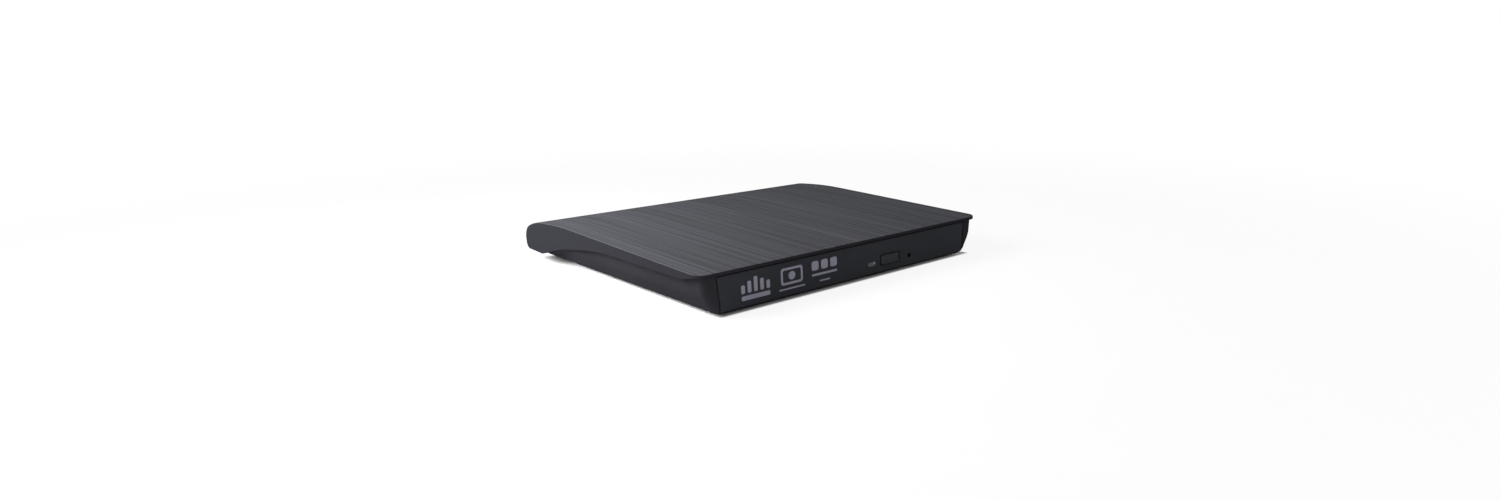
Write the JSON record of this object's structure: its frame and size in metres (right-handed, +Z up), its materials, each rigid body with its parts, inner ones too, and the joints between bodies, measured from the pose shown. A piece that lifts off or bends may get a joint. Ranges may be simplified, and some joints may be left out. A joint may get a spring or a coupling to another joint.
{
  "type": "external disc drive",
  "caption": "slim external disc drive with a crowned charcoal cover, drawn-in lower shell, sliding tray with spindle, traverse unit and pickup, and a rear socket",
  "frame": {"origin": "middle of the footprint, at the level the rubber feet stand on", "axes": "+X to the right for someone facing the front, +Y to the rear, +Z up; the tray slides out along -Y"},
  "size_m": [0.1456, 0.1425, 0.0197],
  "materials": {
    "cover": "satin charcoal plastic with fine brushed lines",
    "shell": "fine matt charcoal plastic",
    "bezel": "fine matt charcoal plastic",
    "button": "satin charcoal plastic",
    "foot_rubber": "matt black rubber",
    "damper_rubber": "matt black rubber",
    "screw_steel": "dark zinc plated",
    "circuit_board": "green solder resist",
    "chip": "moulded black",
    "socket_metal": "nickel plated",
    "black_plastic": "moulded black",
    "cream_plastic": "moulded cream",
    "chassis_steel": "zinc coated sheet",
    "rail_steel": "zinc coated sheet",
    "rod_steel": "ground and polished",
    "guide_plastic": "natural acetal",
    "tray_plastic": "fine matt grey plastic",
    "plate_paint": "grey paint on steel",
    "frame_metal": "die cast",
    "clear_plastic": "clear moulded",
    "turntable_plastic": "moulded black",
    "hub_plastic": "moulded dark grey",
    "pawl_plastic": "moulded dark grey",
    "heat_sink": "ribbed",
    "flex_print": "amber polyimide film",
    "lens_glass": "coated lens"
  },
  "bodies": {
    "enclosure": {"top_cover": "cover", "bottom_shell": "shell", "rubber_feet": "foot_rubber", "case_screws": "screw_steel", "drive_screws": "screw_steel", "bridge_board": "circuit_board", "bridge_chips": "chip", "usb_shell": "socket_metal", "usb_tongue": "black_plastic", "bridge_connector": "black_plastic", "board_screws": "screw_steel", "drive_chassis": "chassis_steel", "drive_lid": "chassis_steel", "lid_screws": "screw_steel", "main_board": "circuit_board", "main_board_chips": "chip", "drive_connector": "black_plastic", "flex_connector": "cream_plastic", "tray_flex": "flex_print", "left_guide": "guide_plastic", "right_guide": "guide_plastic", "latch_pin": "screw_steel"},
    "left_rail_body": {"left_rail": "rail_steel"},
    "right_rail_body": {"right_rail": "rail_steel"},
    "tray_body": {"tray": "tray_plastic", "under_cover": "chassis_steel", "under_cover_screws": "screw_steel", "front_bezel": "bezel", "light_pipe": "clear_plastic", "lamp": "cream_plastic", "front_board": "circuit_board", "button_switch": "black_plastic", "latch_pivot": "screw_steel", "latch_solenoid": "black_plastic", "traverse_frame": "frame_metal", "traverse_plate": "plate_paint", "dampers": "damper_rubber", "traverse_screws": "screw_steel", "guide_rods": "rod_steel", "motor_base": "chassis_steel", "feed_motor": "chassis_steel"},
    "button_body": {"eject_button": "button", "switch_plunger": "guide_plastic"},
    "spindle_body": {"rotor": "turntable_plastic", "turntable_mat": "damper_rubber", "disc_hub": "hub_plastic"},
    "pawl_1_body": {"hub_pawl_1": "pawl_plastic"},
    "pawl_2_body": {"hub_pawl_2": "pawl_plastic"},
    "pawl_3_body": {"hub_pawl_3": "pawl_plastic"},
    "pickup_unit": {"pickup_body": "frame_metal", "pickup_cover": "chassis_steel", "pickup_shield": "cream_plastic", "heat_sink": "heat_sink", "feed_nut": "pawl_plastic", "pickup_flex": "flex_print"},
    "lens_body": {"lens_holder": "black_plastic", "lens": "lens_glass"},
    "screw_body": {"lead_screw": "rod_steel"},
    "latch_body": {"latch_hook": "guide_plastic"},
    "plunger_body": {"solenoid_plunger": "rod_steel"}
  },
  "joints": [
    {"name": "tray_slide", "type": "slide", "parent": "enclosure", "child": "tray_body", "axis": [0, -1, 0], "range_m": [0, 0.13], "deforming": ["tray_flex"]},
    {"name": "left_rail_slide", "type": "slide", "parent": "enclosure", "child": "left_rail_body", "axis": [0, -1, 0], "range_m": [0, 0.078]},
    {"name": "right_rail_slide", "type": "slide", "parent": "enclosure", "child": "right_rail_body", "axis": [0, -1, 0], "range_m": [0, 0.078]},
    {"name": "eject_button_press", "type": "slide", "parent": "tray_body", "child": "button_body", "axis": [0, 1, 0], "range_m": [0, 0.0007], "stiffness_N_per_m": 300},
    {"name": "spindle_spin", "type": "hinge", "parent": "tray_body", "child": "spindle_body", "pos_m": [0.002, -0.002, 0.009], "axis": [0, 0, 1], "continuous": true},
    {"name": "pickup_feed", "type": "slide", "parent": "tray_body", "child": "pickup_unit", "axis": [-0.6198, -0.7848, 0], "range_m": [-0.0035, 0.0315], "deforming": ["pickup_flex"]},
    {"name": "lens_focus", "type": "slide", "parent": "pickup_unit", "child": "lens_body", "axis": [0, 0, 1], "range_m": [-0.0004, 0.0004], "stiffness_N_per_m": 40},
    {"name": "lead_screw_turn", "type": "hinge", "parent": "tray_body", "child": "screw_body", "pos_m": [0.02225, -0.01799, 0.0066], "axis": [-0.6198, -0.7848, 0], "continuous": true},
    {"name": "latch_swing", "type": "hinge", "parent": "tray_body", "child": "latch_body", "pos_m": [0.0534, -0.0632, 0.0051], "axis": [0, 0, 1], "range_deg": [0, 10.5]},
    {"name": "plunger_slide", "type": "slide", "parent": "tray_body", "child": "plunger_body", "axis": [0, 1, 0], "range_m": [-0.00208, 0]},
    {"name": "pawl_1_press", "type": "slide", "parent": "spindle_body", "child": "pawl_1_body", "axis": [-1, 0, 0], "range_m": [0, 0.0005], "stiffness_N_per_m": 400},
    {"name": "pawl_2_press", "type": "slide", "parent": "spindle_body", "child": "pawl_2_body", "axis": [0.5, -0.866, 0], "range_m": [0, 0.0005], "stiffness_N_per_m": 400},
    {"name": "pawl_3_press", "type": "slide", "parent": "spindle_body", "child": "pawl_3_body", "axis": [0.5, 0.866, 0], "range_m": [0, 0.0005], "stiffness_N_per_m": 400}
  ],
  "couplings": [
    {"joint": "left_rail_slide", "follows": "tray_slide", "ratio": 0.6},
    {"joint": "right_rail_slide", "follows": "tray_slide", "ratio": 0.6},
    {"joint": "lead_screw_turn", "follows": "pickup_feed", "rad_per_m": 2094.4},
    {"joint": "latch_swing", "follows": "plunger_slide", "rad_per_m": -88.1}
  ]
}
